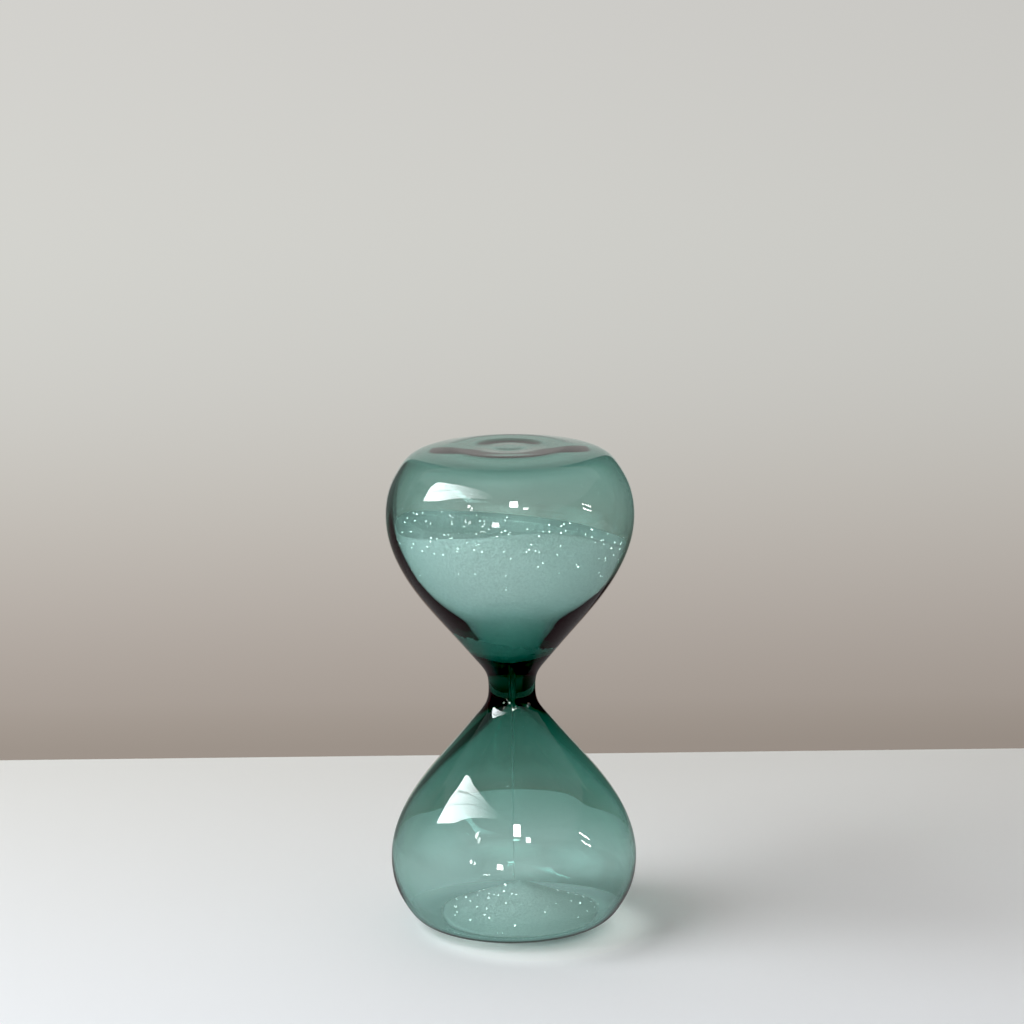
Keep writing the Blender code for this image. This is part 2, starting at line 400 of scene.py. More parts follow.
PRESS_MOTTLE = 0.03  # unevenness of the press, and the spread and fineness of its noise
MOTTLE_AROUND = 14
MOTTLE_FINENESS = 0.9
SAND_AROUND = 160
WALL_RINGS = 70
WALL_CROWDING = 1.4  # crowds the rings of its side towards its nose
TOP_RINGS = 64
RIM_SEARCH = 15  # how far either side of its level the rim can lie
RIM_HALVINGS = 30


def sand_radius(height, angle):
    """Radius of the upper sand against the glass, and no wider than lets it rise all its way."""
    lift = PRESS_SLOPE * (PRESSED_HEIGHT - height) - PRESS_LEAN * math.cos(angle)
    spot = Vector((math.cos(angle), math.sin(angle), 0.0)) * MOTTLE_AROUND
    spot += Vector((0.0, 0.0, height))
    lift += PRESS_MOTTLE * noise.noise(spot * MOTTLE_FINENESS)
    radius = cavity_radius(UPPER_LINE, height, angle) + min(PRESS_DEPTH, max(-SAND_GAP, lift))
    return min(radius, cavity_radius(UPPER_LINE, height + UPPER_TRAVEL, angle) - SAND_GAP)


def relief(x, y):
    """Unevenness of a sand surface, in mm."""
    soft = noise.noise(Vector((x / RIPPLE_LENGTH, y / RIPPLE_LENGTH, 3.0)))
    fine = noise.noise(Vector((x / GRAIN_LENGTH, y / GRAIN_LENGTH, 9.0)))
    return RIPPLE * soft + GRAIN * fine


def sand_surface(x, y):
    """Height of the upper sand's top above the waist, in mm."""
    across, along = (x - CRATER[0]) / CRATER_REACH[0], (y - CRATER[1]) / CRATER_REACH[1]
    share = min(1.0, math.hypot(across, along))
    crater = CRATER_DEPTH * (1 - share) * (1 + share) ** CRATER_ROUNDING
    dunes = sum(
        height * math.exp(-((x - at_x) ** 2 + (y - at_y) ** 2) / (2 * width**2))
        for at_x, at_y, width, height in SAND_DUNES
    )
    return SAND_LEVEL + SAND_TILT[0] * x + SAND_TILT[1] * y - crater + dunes


def sand_rim(angle):
    """Where the top of the sand meets the glass: its radius and height."""
    low, high = SAND_LEVEL - RIM_SEARCH, SAND_LEVEL + RIM_SEARCH
    for _ in range(RIM_HALVINGS):
        height = (low + high) / 2
        radius = sand_radius(height, angle)
        if sand_surface(radius * math.cos(angle), radius * math.sin(angle)) > height:
            low = height
        else:
            high = height
    return radius, height


def upper_sand(look):
    """The charge in the upper bulb: rings up its side, then rings across its top."""
    turn = angles(SAND_AROUND)
    rims = [sand_rim(angle) for angle in turn]
    rings = []
    for step in range(WALL_RINGS + 1):
        share = (step / WALL_RINGS) ** WALL_CROWDING
        ring = []
        for angle, (_, rim_height) in zip(turn, rims):
            nose = SAND_NOSE + NOSE_LIFT * math.cos(angle) ** 2
            height = nose + (rim_height - nose) * share
            ring.append(place(sand_radius(height, angle), angle, height))
        rings.append(ring)
    for step in range(TOP_RINGS - 1, 0, -1):
        share = step / TOP_RINGS
        ring = []
        for angle, (rim_radius, _) in zip(turn, rims):
            radius = share * rim_radius
            x, y = radius * math.cos(angle), radius * math.sin(angle)
            ring.append(place(radius, angle, sand_surface(x, y) + relief(x, y)))
        rings.append(ring)
    form = bmesh.new()
    skin(form, rings, place(0, 0, SAND_NOSE - NOSE_CAP), place(0, 0, sand_surface(0, 0)))
    charge = mesh_object("upper_sand_charge", form, look)
    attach(charge, "upper_charge")
    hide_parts("upper_sand")


# ---------------------------------------------------------------- the lower sand

HEAP_TOP = [  # (radius, height above the table)
    (0.0, 12.3), (2.6, 11.6), (8.0, 9.2), (14.6, 6.1), (19.0, 4.2), (21.0, 3.4), (22.4, 2.75),
]
HEAP_SPACING = 0.4
HEAP_LINE = spline(HEAP_TOP, HEAP_SPACING)
HEAP_EDGE = HEAP_TOP[-1][0]
HEAP_ASIDE = 1.6  # how far its middle lies towards +X
HEAP_RINGS = 70
HEAP_BASE_RINGS = 12
HEAP_BASE_GAP = 0.1  # under the heap, besides the gap that all sand has
HEAP_RELIEF = 0.5  # its share of the sand's unevenness
HEAP_RELIEF_FROM = 50  # how far towards +X that unevenness is taken from
LOOSE_GRAINS = 2500
LOOSE_INSIDE = 0.6  # they start this far inside the heap's edge
LOOSE_SPREAD = 0.9
LOOSE_REACH = 1.5  # so that they clear the narrower glass when the heap rises
LOOSE_SIZE = (0.08, 0.16)
GRAIN_REST = 1.3  # height of a resting grain's middle, in its own size


def heap_height(radius):
    """Height of the heap's surface above the table, in mm."""
    return float(np.interp(radius, HEAP_LINE[:, 0], HEAP_LINE[:, 1]))


def floor_height(radius):
    """Height of the bulb's floor above the table, in mm."""
    widest = int(np.argmax(LOWER_LINE[:, 0]))
    floor = LOWER_LINE[widest:][::-1]
    return HALF_HEIGHT - float(np.interp(radius, floor[:, 0], floor[:, 1]))


def floor_under(radius, angle):
    """Height at which sand rests on the floor, at a point round the middle of the heap."""
    x, y = radius * math.cos(angle) + HEAP_ASIDE, radius * math.sin(angle)
    return floor_height(math.hypot(x, y)) + SAND_GAP


def lower_sand(look):
    """The heap on the lower bulb's floor, with loose grains round its edge."""
    turn = angles(SAND_AROUND)
    rings = []
    for step in range(1, HEAP_BASE_RINGS + 1):
        radius = HEAP_EDGE * step / HEAP_BASE_RINGS
        ring = []
        for angle in turn:
            height = floor_under(radius, angle) + HEAP_BASE_GAP - HALF_HEIGHT
            ring.append(place(radius, angle, height))
        rings.append(ring)
    for step in range(HEAP_RINGS - 1, 0, -1):
        radius = HEAP_EDGE * step / HEAP_RINGS
        ring = []
        for angle in turn:
            x, y = radius * math.cos(angle), radius * math.sin(angle)
            sunk = min(0.0, HEAP_RELIEF * relief(x + HEAP_RELIEF_FROM, y))
            ring.append(place(radius, angle, heap_height(radius) + sunk - HALF_HEIGHT))
        rings.append(ring)
    form = bmesh.new()
    base = floor_under(0, 0) + HEAP_BASE_GAP - HALF_HEIGHT
    skin(form, rings, place(0, 0, base), place(0, 0, HEAP_TOP[0][1] - HALF_HEIGHT))
    pick = random.Random(19)
    for _ in range(LOOSE_GRAINS):
        radius = HEAP_EDGE - LOOSE_INSIDE + abs(pick.gauss(0, LOOSE_SPREAD)) % LOOSE_REACH
        angle = pick.uniform(0, math.tau)
        size = pick.uniform(*LOOSE_SIZE)
        height = floor_under(radius, angle) + size * GRAIN_REST - HALF_HEIGHT
        crystal(form, place(radius, angle, height), size * MM, pick)
    move_aside(form)
    heap = mesh_object("lower_sand_heap", form, look)
    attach(heap, "lower_charge")
    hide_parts("lower_sand")


def move_aside(form):
    """Moves what was made round the axis to where the heap lies."""
    for corner in form.verts:
        corner.co.x += HEAP_ASIDE * MM


# ---------------------------------------------------------------- single grains

CRYSTAL_AXES = [(1, 0, 0), (-1, 0, 0), (0, 1, 0), (0, -1, 0), (0, 0, 1), (0, 0, -1)]
CRYSTAL_FACES = [
    (0, 2, 4), (2, 1, 4), (1, 3, 4), (3, 0, 4), (2, 0, 5), (1, 2, 5), (3, 1, 5), (0, 3, 5),
]
CRYSTAL_STRETCH = (0.7, 1.2)
GLITTER_MIDDLE = 0.02  # glitter starts this share of the area from the middle of a surface
TOP_GLITTER = 80  # grains on the upper sand's top, this far inside its rim and above the surface
TOP_GLITTER_SIZE = (0.08, 0.13)
TOP_GLITTER_INSIDE = 0.5
TOP_GLITTER_LIFT = 0.05
WALL_GLITTER = 110  # grains against the glass, this far and further below the rim
WALL_GLITTER_SIZE = (0.07, 0.12)
WALL_GLITTER_BELOW = 0.5
WALL_GLITTER_SPREAD = 6.0
WALL_GLITTER_SUNK = 0.02
HEAP_GLITTER = 50
HEAP_GLITTER_SIZE = (0.08, 0.14)
HEAP_GLITTER_INSIDE = 0.6
FALLING_SIZE = (0.06, 0.12)
FALLING_SPREAD = 0.6  # how far falling grains stray, as a share of the thread's radius
THREAD_INSET = 0.12  # by which the thread of grains is slimmer than the CAD's
THROAT_GRAINS = 620
THROAT_BELOW_NOSE = 0.2
STREAM_GRAINS = 1500


def crystal(form, centre, size, pick):
    """One small eight-sided grain, turned any way."""
    turned = Euler([pick.uniform(0, math.tau) for _ in range(3)]).to_matrix()
    corners = [
        turned @ (Vector(axis) * size * pick.uniform(*CRYSTAL_STRETCH)) + Vector(centre)
        for axis in CRYSTAL_AXES
    ]
    verts = [form.verts.new(corner) for corner in corners]
    for face in CRYSTAL_FACES:
        form.faces.new([verts[i] for i in face])


def flat_shaded(piece):
    piece.data.polygons.foreach_set("use_smooth", [False] * len(piece.data.polygons))


def upper_sparkles(look):
    """Grains that glow with painted glints, on top of the upper sand and where it meets the glass.
    """
    pick = random.Random(7)
    form = bmesh.new()
    for _ in range(TOP_GLITTER):
        angle = pick.uniform(0, math.tau)
        rim_radius, _ = sand_rim(angle)
        share = math.sqrt(pick.uniform(GLITTER_MIDDLE, 1.0))
        radius = (rim_radius - TOP_GLITTER_INSIDE) * share
        x, y = radius * math.cos(angle), radius * math.sin(angle)
        spot = place(radius, angle, sand_surface(x, y) + relief(x, y) + TOP_GLITTER_LIFT)
        crystal(form, spot, pick.uniform(*TOP_GLITTER_SIZE) * MM, pick)
    for _ in range(WALL_GLITTER):
        angle = pick.uniform(0, math.tau)
        _, rim_height = sand_rim(angle)
        height = rim_height - WALL_GLITTER_BELOW - abs(pick.gauss(0, WALL_GLITTER_SPREAD))
        radius = sand_radius(height, angle) - WALL_GLITTER_SUNK
        crystal(form, place(radius, angle, height), pick.uniform(*WALL_GLITTER_SIZE) * MM, pick)
    piece = mesh_object("upper_sand_glitter", form, look)
    flat_shaded(piece)
    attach(piece, "upper_charge")


def lower_sparkles(look):
    """Grains that glow with painted glints, on the heap."""
    pick = random.Random(11)
    form = bmesh.new()
    for _ in range(HEAP_GLITTER):
        angle = pick.uniform(0, math.tau)
        share = math.sqrt(pick.uniform(GLITTER_MIDDLE, 1.0))
        radius = (HEAP_EDGE - HEAP_GLITTER_INSIDE) * share
        spot = place(radius, angle, heap_height(radius) - HALF_HEIGHT)
        crystal(form, spot, pick.uniform(*HEAP_GLITTER_SIZE) * MM, pick)
    move_aside(form)
    piece = mesh_object("lower_sand_glitter", form, look)
    flat_shaded(piece)
    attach(piece, "lower_charge")


def falling_grains(name, low, high, radius, count, node, seed, look):
    """A thread of separate grains between two heights, denser in its middle."""
    pick = random.Random(seed)
    form = bmesh.new()
    for i in range(count):
        z = low + (high - low) * (i + pick.random()) / count
        spread = min(radius, abs(pick.gauss(0, radius * FALLING_SPREAD)))
        angle = pick.uniform(0, math.tau)
        size = pick.uniform(*FALLING_SIZE) * MM
        z = min(max(z, low + 2 * size), high - 2 * size)
        crystal(form, (spread * math.cos(angle), spread * math.sin(angle), z), size, pick)
    piece = mesh_object(name, form, look)
    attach(piece, "glass")
    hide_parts(node)
    return piece


def moving_sand(look):
    """The threads of grains in the bore and below it; the lower one gets a mesh of its own."""
    radius = (STREAM_HIGH[0] - STREAM_LOW[0]) / 2 - THREAD_INSET * MM
    mouth = WAIST_Z + (SAND_NOSE - THROAT_BELOW_NOSE) * MM
    low, high = STREAM_LOW[2], STREAM_HIGH[2]
    falling_grains(
        "throat_grains", THROAT_LOW[2], mouth, radius, THROAT_GRAINS, "throat_sand", 3, look
    )
    stream = falling_grains(
        "falling_stream", low, high, radius, STREAM_GRAINS, "sand_stream", 5, look
    )
    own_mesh(stream)


# ---------------------------------------------------------------- table and backdrop, in metres

TABLE_BACK = 0.172
TABLE_SIDE = 2.5
TABLE_SPAN = (-0.1, 0.17)  # painted shade: its paint changes from the lit near colour to the darker far one between these
TABLE_NEAR_LIT = (0.88, 0.885, 0.92)
TABLE_FAR_SHADED = (0.78, 0.765, 0.745)
TABLE_MOTTLE = 0.12
FOOT_RING_MIDDLE = (0.007, -0.006, 0.0)  # painted light: a glowing ring round the foot, brightest in its middle
FOOT_RING_SCALE = 0.05
FOOT_RING_STOPS = (0.2, 0.46, 0.74)
FOOT_RING_PAINTED_LIGHT = (0.25, 0.26, 0.25)
WALL_AT = 1.2
WALL_SPAN = (-0.3, 0.3)  # its painted light darkens from left to right between these
WALL_SPAN_SHADES = (1.04, 0.94)
WALL_SHADES = [  # height on the wall in metres and the colour it glows with as painted light, from below the table's edge upwards
    (-0.42, (0.30, 0.26, 0.23)),
    (-0.291, (0.332, 0.292, 0.254)),
    (-0.262, (0.381, 0.337, 0.300)),
    (-0.198, (0.462, 0.423, 0.386)),
    (-0.134, (0.539, 0.515, 0.474)),
    (-0.071, (0.597, 0.591, 0.558)),
    (-0.009, (0.624, 0.624, 0.591)),
    (0.053, (0.638, 0.638, 0.604)),
    (0.168, (0.624, 0.617, 0.591)),
]
WALL_LOW, WALL_HIGH = -0.6, 1.6


def plane(name, corners, look):
    form = bmesh.new()
    form.faces.new([form.verts.new(corner) for corner in corners])
    made = mesh_object(name, form, look)
    return made


def wall_material():
    """Painted light: the backdrop glows evenly instead of taking lamp light, darker towards the
    table and to the right.
    """
    made, nodes, links, shader = shader_of("backdrop_painted_light")
    coords = nodes.new("ShaderNodeTexCoord")
    split = nodes.new("ShaderNodeSeparateXYZ")
    level = nodes.new("ShaderNodeMapRange")
    level.inputs["From Min"].default_value = WALL_SHADES[0][0]
    level.inputs["From Max"].default_value = WALL_SHADES[-1][0]
    ramp = nodes.new("ShaderNodeValToRGB")
    ramp.color_ramp.interpolation = "B_SPLINE"
    span = WALL_SHADES[-1][0] - WALL_SHADES[0][0]
    ramp.color_ramp.elements.remove(ramp.color_ramp.elements[1])
    ramp.color_ramp.elements[0].color = (*WALL_SHADES[0][1], 1.0)
    for height, colour in WALL_SHADES[1:]:
        stop = ramp.color_ramp.elements.new((height - WALL_SHADES[0][0]) / span)
        stop.color = (*colour, 1.0)
    across = nodes.new("ShaderNodeMapRange")
    across.inputs["From Min"].default_value = WALL_SPAN[0]
    across.inputs["From Max"].default_value = WALL_SPAN[1]
    across.inputs["To Min"].default_value = WALL_SPAN_SHADES[0]
    across.inputs["To Max"].default_value = WALL_SPAN_SHADES[1]
    links.new(coords.outputs["Object"], split.inputs["Vector"])
    links.new(split.outputs["Z"], level.inputs["Value"])
    links.new(split.outputs["X"], across.inputs["Value"])
    links.new(level.outputs["Result"], ramp.inputs["Fac"])
    links.new(ramp.outputs["Color"], shader.inputs["Emission Color"])
    links.new(across.outputs["Result"], shader.inputs["Emission Strength"])
    shader.inputs["Base Color"].default_value = (0.0, 0.0, 0.0, 1.0)
    shader.inputs["Specular IOR Level"].default_value = 0.0
    shader.inputs["Roughness"].default_value = 1.0
    return made


def table_material():
    """Pale paint with painted shade, darker and warmer towards the wall, and a painted glow round
    its foot for the light that the bulb gathers there.
    """
    made, nodes, links, shader = shader_of("table_paint_and_painted_light")
    mottle = noise_node(nodes, links, scale=9.0)
    coords = nodes.new("ShaderNodeTexCoord")
    split = nodes.new("ShaderNodeSeparateXYZ")
    links.new(coords.outputs["Object"], split.inputs["Vector"])
    depth = nodes.new("ShaderNodeMapRange")
    depth.inputs["From Min"].default_value = TABLE_SPAN[0]
    depth.inputs["From Max"].default_value = TABLE_SPAN[1]
    links.new(split.outputs["Y"], depth.inputs["Value"])
    blend = nodes.new("ShaderNodeMath")
    blend.operation = "MULTIPLY_ADD"
    blend.inputs[1].default_value = TABLE_MOTTLE
    links.new(mottle.outputs["Fac"], blend.inputs[0])
    links.new(depth.outputs["Result"], blend.inputs[2])
    # Painted shade: the table's colour darkens and warms towards the wall.
    ramp = nodes.new("ShaderNodeValToRGB")
    ramp.color_ramp.elements[0].color = (*TABLE_NEAR_LIT, 1.0)
    ramp.color_ramp.elements[1].color = (*TABLE_FAR_SHADED, 1.0)
    links.new(blend.outputs["Value"], ramp.inputs["Fac"])
    links.new(ramp.outputs["Color"], shader.inputs["Base Color"])
    shader.inputs["Roughness"].default_value = 0.6
    shader.inputs["Specular IOR Level"].default_value = 0.3
    # Painted light: the table glows in a ring round the foot, for the light that the bulb gathers
    # there.
    from_foot = nodes.new("ShaderNodeVectorMath")
    from_foot.operation = "DISTANCE"
    from_foot.inputs[1].default_value = FOOT_RING_MIDDLE
    links.new(coords.outputs["Object"], from_foot.inputs[0])
    reach = nodes.new("ShaderNodeMath")
    reach.operation = "DIVIDE"
    reach.inputs[1].default_value = FOOT_RING_SCALE
    links.new(from_foot.outputs["Value"], reach.inputs[0])
    ring = nodes.new("ShaderNodeValToRGB")
    ring.color_ramp.interpolation = "EASE"
    ring.color_ramp.elements[0].position = FOOT_RING_STOPS[0]
    ring.color_ramp.elements[0].color = (0.0, 0.0, 0.0, 1.0)
    ring.color_ramp.elements[1].position = FOOT_RING_STOPS[2]
    ring.color_ramp.elements[1].color = (0.0, 0.0, 0.0, 1.0)
    ring.color_ramp.elements.new(FOOT_RING_STOPS[1]).color = (*FOOT_RING_PAINTED_LIGHT, 1.0)
    links.new(reach.outputs["Value"], ring.inputs["Fac"])
    links.new(ring.outputs["Color"], shader.inputs["Emission Color"])
    shader.inputs["Emission Strength"].default_value = 1.0
    return made


def glow_material(name, colour, strength):
    """A material that only shines."""
    made, _, _, shader = shader_of(name)
    shader.inputs["Base Color"].default_value = (0.0, 0.0, 0.0, 1.0)
    shader.inputs["Specular IOR Level"].default_value = 0.0
    shader.inputs["Emission Color"].default_value = (*colour, 1.0)
    shader.inputs["Emission Strength"].default_value = strength
    return made


def corner_glow(name):
    """A material that shines with the colours kept at the corners of its faces."""
    made, nodes, links, shader = shader_of(name)
    shade = nodes.new("ShaderNodeAttribute")
    shade.attribute_name = "glow"
    links.new(shade.outputs["Color"], shader.inputs["Emission Color"])
    shader.inputs["Base Color"].default_value = (0.0, 0.0, 0.0, 1.0)
    shader.inputs["Specular IOR Level"].default_value = 0.0
    shader.inputs["Emission Strength"].default_value = 1.0
    return made


def paint(face, glow, lights, tint):
    """Gives each corner of a face its own light."""
    for loop, light in zip(face.loops, lights):
        loop[glow] = (*(light * tone for tone in tint), 1.0)


def only_in_glass(card):
    """The card shows in reflections and through the glass, not to the camera or on the table."""
    card.visible_camera = False
    card.visible_diffuse = False
    card.visible_shadow = False


def only_glossy(card):
    """The card shows only where the glass mirrors it."""
    only_in_glass(card)
    card.visible_transmission = False


def only_through(card):
    """The card lights what is inside the glass, and shows through it."""
    only_in_glass(card)
    card.visible_glossy = False


# ---------------------------------------------------------------- cards of light

AIM = Vector((0, 0, WAIST_Z))
WINDOW_COLOUR = (0.93, 0.98, 1.0)
WINDOW_AWAY = 1.2
WINDOW_SILL = [  # (compass angle from +X, elevation) along its lower edge
    (176, 22), (185, 26), (196, 31), (208, 38), (223, 42.5), (238, 45), (252, 46.5),
]
WINDOW_HEAD = [(173, 33), (176, 42), (184, 45.5), (196, 48.5), (212, 51), (232, 51), (252, 48)]
WINDOW_ROWS = [  # (from, to, light) as shares of its height and of its brightness
    (0.0, 0.5, 1.0), (0.5, 0.54, 0.55), (0.54, 0.76, 0.95), (0.76, 0.8, 0.5), (0.8, 1.0, 1.0),
]
WINDOW_GLOW = [22.0, 22.0, 19.0, 14.0, 8.0, 3.0, 0.3]
WINDOW_THROUGH = 1.25  # how much brighter it is through the glass than mirrored in it
LAMPS = [  # compass angle, elevation, width and height in metres, strength, lean in degrees
    (-86, 40, 0.15, 0.18, 45.0, 0),
    (-74, 33, 0.10, 0.09, 24.0, 0),
    (-132, 33, 0.05, 0.10, 26.0, 0),
    (-128, 30, 0.04, 0.09, 20.0, 0),
    (-131, 12, 0.04, 0.09, 24.0, 0),
    (-127, 11, 0.04, 0.08, 18.0, 0),
    (-103, 10, 0.13, 0.13, 30.0, 0),
    (-115, 1, 0.13, 0.03, 20.0, 0),
    (-11, 20, 0.25, 0.025, 40.0, -47),
    (-13, 15.5, 0.24, 0.025, 40.0, -47),
]
LAMP_AWAY = 1.3
LAMP_COLOUR = (1, 1, 1)
LAMPS_THROUGH = 2  # how many of them also show through the glass
FILLS = [  # ovals: name, compass angle, elevation, distance, width, height, colour, strength
    ("side_fill", 198, 20, 1.0, 1.8, 1.0, WINDOW_COLOUR, 3.9),
    ("front_fill", 278, 18, 1.1, 2.0, 1.0, (1.0, 0.98, 0.96), 4.0),
    ("top_fill", 240, 74, 1.0, 1.2, 1.0, (1.0, 1.0, 1.0), 2.2),
]
FILL_SIDES = 36
FOOT_GLOW = 0.56  # painted light on the table under the bulb, from a glowing card
FOOT_GLOW_RINGS = (15.0, 25.0, 35.0)  # mm
FOOT_GLOW_SIDES = 48
FOOT_GLOW_LIFT = 0.0005
FOOT_GLOW_TINT = (0.97, 1.0, 1.0)
FOOT_EDGE_GLOW = 0.55  # at its edge, painted brighter on one side and darker on the other by the swing
FOOT_EDGE_SWING = 0.15
FOOT_EDGE_BRIGHT_AT = math.radians(150)
DARK_CORNERS = [  # name, left and right edge, shade, and where each shows
    ("dark_corner_left", -2.4, -0.36, 0.17, only_in_glass),
    ("dark_corner_right", 0.3, 2.4, 0.05, only_glossy),
]
DARK_AT = 1.15
DARK_LOW, DARK_HIGH = -0.6, 1.3
DARK_TINT = (1.0, 0.97, 0.94)
MIRRORED_SIDE = 2.4  # the table and the ceiling as the glass mirrors them
MIRRORED_LIFT = 0.001
MIRRORED_TABLE = (0.2, 0.2, 0.2)
CEILING_UP = 1.5
CEILING_COLOUR = (0.95, 0.97, 1.0)
CEILING_GLOW = 0.45


def way(compass, elevation):
    """The direction of a compass angle from +X and an elevation, both in degrees."""
    turn, rise = math.radians(compass), math.radians(elevation)
    level = math.cos(rise)
    return Vector((math.cos(turn) * level, math.sin(turn) * level, math.sin(rise)))


def facing(towards, distance, lean=0.0):
    """The middle of a card that faces the object, and the directions of its width and height."""
    look = Vector(towards).normalized()
    level = look.cross(Vector((0, 0, 1))).normalized()
    side = Matrix.Rotation(math.radians(lean), 3, look) @ level
    rise = side.cross(look).normalized()
    return AIM + look * distance, side, rise


def facing_card(name, towards, distance, width, height, colour, strength, lean=0.0):
    """A rectangle of light that faces the object, turned by its lean in degrees."""
    middle, side, rise = facing(towards, distance, lean)
    side, rise = side * (width / 2), rise * (height / 2)
    left, right = middle - side, middle + side
    corners = [left - rise, right - rise, right + rise, left + rise]
    card = plane(name, corners, glow_material(name + "_glow", colour, strength))
    only_in_glass(card)
    return card


def soft_card(name, towards, distance, width, height, colour, strength):
    """An oval of light, seen only through the glass, that fades evenly to nothing at its edge."""
    centre, side, rise = facing(towards, distance)
    form = bmesh.new()
    glow = form.loops.layers.float_color.new("glow")
    middle = form.verts.new(centre)
    rim = []
    for angle in angles(FILL_SIDES):
        across, up = side * (width / 2 * math.cos(angle)), rise * (height / 2 * math.sin(angle))
        rim.append(form.verts.new(centre + across + up))
    for i in range(FILL_SIDES):
        face = form.faces.new([middle, rim[i], rim[(i + 1) % FILL_SIDES]])
        paint(face, glow, (strength, 0.0, 0.0), colour)
    card = mesh_object(name, form, corner_glow(name + "_glow"))
    only_through(card)


def window_card(name, share, keep):
    """A strip of window panes that brighten towards the left, with bars between them."""
    form = bmesh.new()
    glow = form.loops.layers.float_color.new("glow")
    for low, high, part in WINDOW_ROWS:
        for i in range(len(WINDOW_SILL) - 1):
            sides = []
            for at in (i, i + 1):
                sill = AIM + way(*WINDOW_SILL[at]) * WINDOW_AWAY
                head = AIM + way(*WINDOW_HEAD[at]) * WINDOW_AWAY
                sides.append((sill.lerp(head, low), sill.lerp(head, high)))
            spots = [sides[0][0], sides[1][0], sides[1][1], sides[0][1]]
            face = form.faces.new([form.verts.new(spot) for spot in spots])
            ends = (WINDOW_GLOW[i], WINDOW_GLOW[i + 1], WINDOW_GLOW[i + 1], WINDOW_GLOW[i])
            paint(face, glow, [end * share * part for end in ends], WINDOW_COLOUR)
    card = mesh_object(name, form, corner_glow(name + "_glow"))
    keep(card)


def light_under_foot():
    """Painted light: a glowing card on the table below the bulb, seen through the glass, for the
    light the bulb gathers there, fading at its edge into the table's.
    """
    form = bmesh.new()
    glow = form.loops.layers.float_color.new("glow")
    turn = angles(FOOT_GLOW_SIDES)
    rows = []
    for radius in FOOT_GLOW_RINGS:
        spots = [(radius * MM * math.cos(angle), radius * MM * math.sin(angle)) for angle in turn]
        rows.append([form.verts.new((x, y, FOOT_GLOW_LIFT)) for x, y in spots])
    middle = form.verts.new((0, 0, FOOT_GLOW_LIFT))
    edge_light = {
        corner: FOOT_EDGE_GLOW + FOOT_EDGE_SWING * math.cos(angle - FOOT_EDGE_BRIGHT_AT)
        for corner, angle in zip(rows[-1], turn)
    }
    pairs = [(i, (i + 1) % FOOT_GLOW_SIDES) for i in range(FOOT_GLOW_SIDES)]
    faces = [form.faces.new([middle, rows[0][i], rows[0][j]]) for i, j in pairs]
    for low, high in zip(rows, rows[1:]):
        faces += [form.faces.new([low[i], high[i], high[j], low[j]]) for i, j in pairs]
    for face in faces:
        lights = [edge_light.get(corner, FOOT_GLOW) for corner in face.verts]
        paint(face, glow, lights, FOOT_GLOW_TINT)
    card = mesh_object("light_under_foot", form, corner_glow("light_under_foot_glow"))
    only_through(card)


# ---------------------------------------------------------------- the room, its light, the camera

WINDOW_LIGHT_WAY = (-0.72, -0.20, 0.66)
WINDOW_LIGHT = (1.0, 0.8, 0.6, 8.6)  # distance, width and height in metres, power in watts
ROOM_COLOUR = (1.0, 0.98, 0.94)
ROOM_STRENGTH = 0.4
CAMERA_AWAY = 1.0
CAMERA_UP = 0.3396
CAMERA_PITCH = 12.34
CAMERA_ROLL = -0.67
CAMERA_ASIDE = 0.0006
CAMERA_LENS = 127.6
CAMERA_SENSOR = 36.0
BLACK_LEVEL = (0.0095, 0.0145, 0.0135)
GLASS_BOUNCES = 24
MIRROR_BOUNCES = 8


def area_light(name, towards, distance, width, height, power, colour):
    data = bpy.data.lights.new(name, "AREA")
    data.shape = "RECTANGLE"
    data.size = width
    data.size_y = height
    data.energy = power
    data.color = colour
    made = bpy.data.objects.new(name, data)
    look = Vector(towards).normalized()
    made.location = AIM + look * distance
    made.rotation_euler = look.to_track_quat("Z", "Y").to_euler()
    made.visible_glossy = False
    made.visible_transmission = False
    bpy.context.scene.collection.objects.link(made)


def table_corners(side, height):
    return [
        (-side, -side, height), (side, -side, height),
        (side, TABLE_BACK, height), (-side, TABLE_BACK, height),
    ]


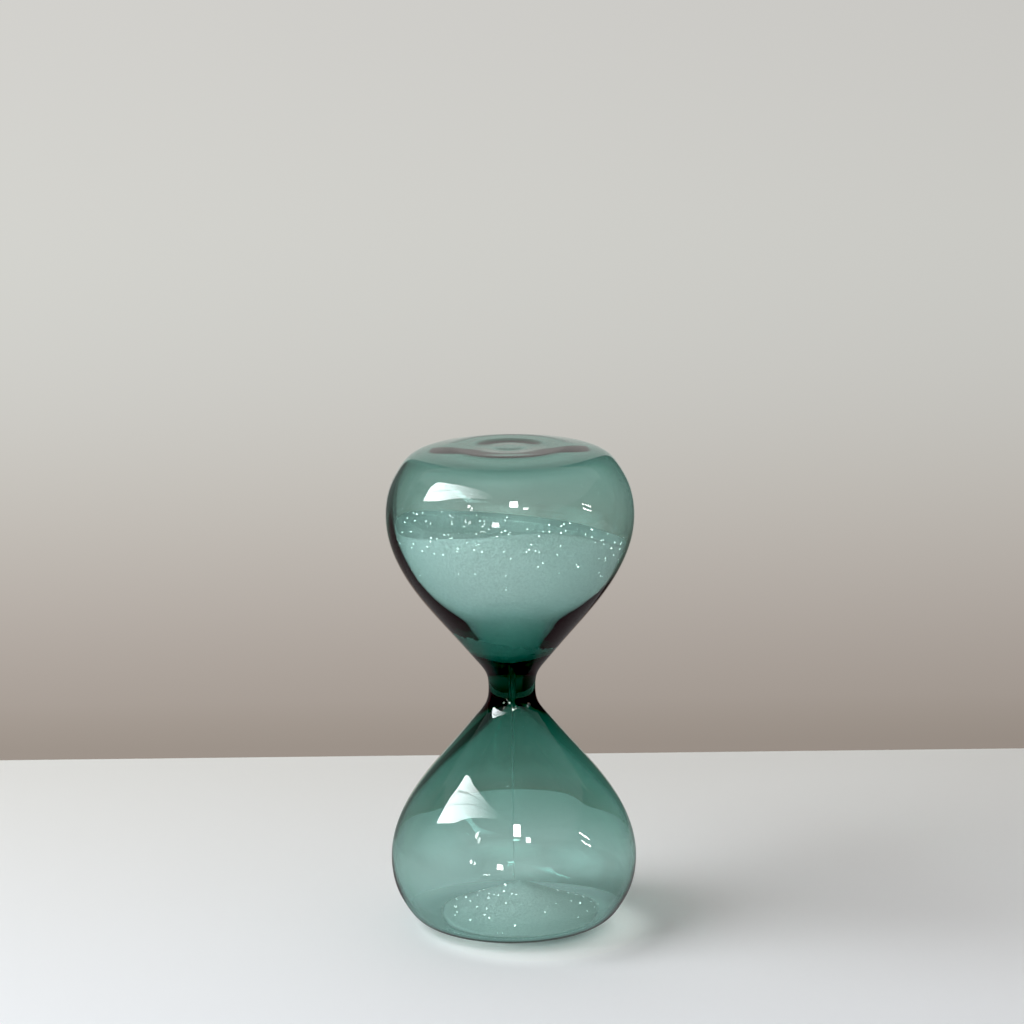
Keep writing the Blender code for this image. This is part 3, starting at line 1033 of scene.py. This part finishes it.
def stage_set():
    """The table, the wall behind it, and the cards that stand for the rest of the room."""
    plane("table", table_corners(TABLE_SIDE, 0), table_material())
    wall_corners = [
        (-TABLE_SIDE, WALL_AT, WALL_LOW), (TABLE_SIDE, WALL_AT, WALL_LOW),
        (TABLE_SIDE, WALL_AT, WALL_HIGH), (-TABLE_SIDE, WALL_AT, WALL_HIGH),
    ]
    plane("backdrop", wall_corners, wall_material())
    window_card("window_mirrored", 1.0, only_glossy)
    window_card("window_through_glass", WINDOW_THROUGH, only_through)
    for i, (compass, elevation, width, height, strength, lean) in enumerate(LAMPS):
        towards, name = way(compass, elevation), f"lamp_{i}"
        card = facing_card(name, towards, LAMP_AWAY, width, height, LAMP_COLOUR, strength, lean)
        if i >= LAMPS_THROUGH:
            only_glossy(card)
    for name, left, right, shade, keep in DARK_CORNERS:
        corners = [
            (left, DARK_AT, DARK_LOW), (right, DARK_AT, DARK_LOW),
            (right, DARK_AT, DARK_HIGH), (left, DARK_AT, DARK_HIGH),
        ]
        colour = tuple(tone * shade for tone in DARK_TINT)
        keep(plane(name, corners, glow_material(name + "_glow", colour, 1.0)))
    for name, compass, elevation, *rest in FILLS:
        soft_card(name, way(compass, elevation), *rest)
    light_under_foot()
    mirrored = glow_material("table_mirrored_glow", MIRRORED_TABLE, 1.0)
    only_glossy(plane("table_mirrored", table_corners(MIRRORED_SIDE, MIRRORED_LIFT), mirrored))
    above = [
        (-MIRRORED_SIDE, -MIRRORED_SIDE, CEILING_UP), (-MIRRORED_SIDE, WALL_AT, CEILING_UP),
        (MIRRORED_SIDE, WALL_AT, CEILING_UP), (MIRRORED_SIDE, -MIRRORED_SIDE, CEILING_UP),
    ]
    ceiling = glow_material("ceiling_glow", CEILING_COLOUR, CEILING_GLOW)
    only_glossy(plane("ceiling", above, ceiling))
    area_light("window_light", WINDOW_LIGHT_WAY, *WINDOW_LIGHT, WINDOW_COLOUR)


def world_light():
    world = bpy.data.worlds.new("room")
    world.use_nodes = True
    world.cycles_visibility.glossy = False
    background = world.node_tree.nodes["Background"]
    background.inputs["Color"].default_value = (*ROOM_COLOUR, 1.0)
    background.inputs["Strength"].default_value = ROOM_STRENGTH
    bpy.context.scene.world = world


def camera():
    data = bpy.data.cameras.new("camera")
    data.lens = CAMERA_LENS
    data.sensor_width = CAMERA_SENSOR
    made = bpy.data.objects.new("camera", data)
    tilt = Matrix.Rotation(math.radians(90 - CAMERA_PITCH), 4, "X")
    roll = Matrix.Rotation(math.radians(CAMERA_ROLL), 4, "Z")
    shift = Matrix.Translation((CAMERA_ASIDE, -CAMERA_AWAY, CAMERA_UP))
    made.matrix_world = shift @ (tilt @ roll)
    bpy.context.scene.collection.objects.link(made)
    bpy.context.scene.camera = made


def render_look():
    scene = bpy.context.scene
    scene.view_settings.view_transform = "Standard"
    scene.view_settings.use_curve_mapping = True
    scene.view_settings.curve_mapping.black_level = BLACK_LEVEL
    scene.view_settings.curve_mapping.update()
    scene.cycles.use_denoising = True
    scene.cycles.max_bounces = GLASS_BOUNCES
    scene.cycles.transmission_bounces = GLASS_BOUNCES
    scene.cycles.glossy_bounces = MIRROR_BOUNCES
    scene.cycles.sample_clamp_indirect = 15.0
    scene.cycles.blur_glossy = 0.2


# ---------------------------------------------------------------- the scene

camera()
SAND = sand_material("white_sand", (0.93, 0.93, 0.92), (0.78, 0.78, 0.77))
GLINT_GLOW = glint_glow_material()
glass_vessel(glass_material())
upper_sand(SAND)
lower_sand(SAND)
upper_sparkles(GLINT_GLOW)
lower_sparkles(GLINT_GLOW)
moving_sand(SAND)
stage_set()
world_light()
render_look()
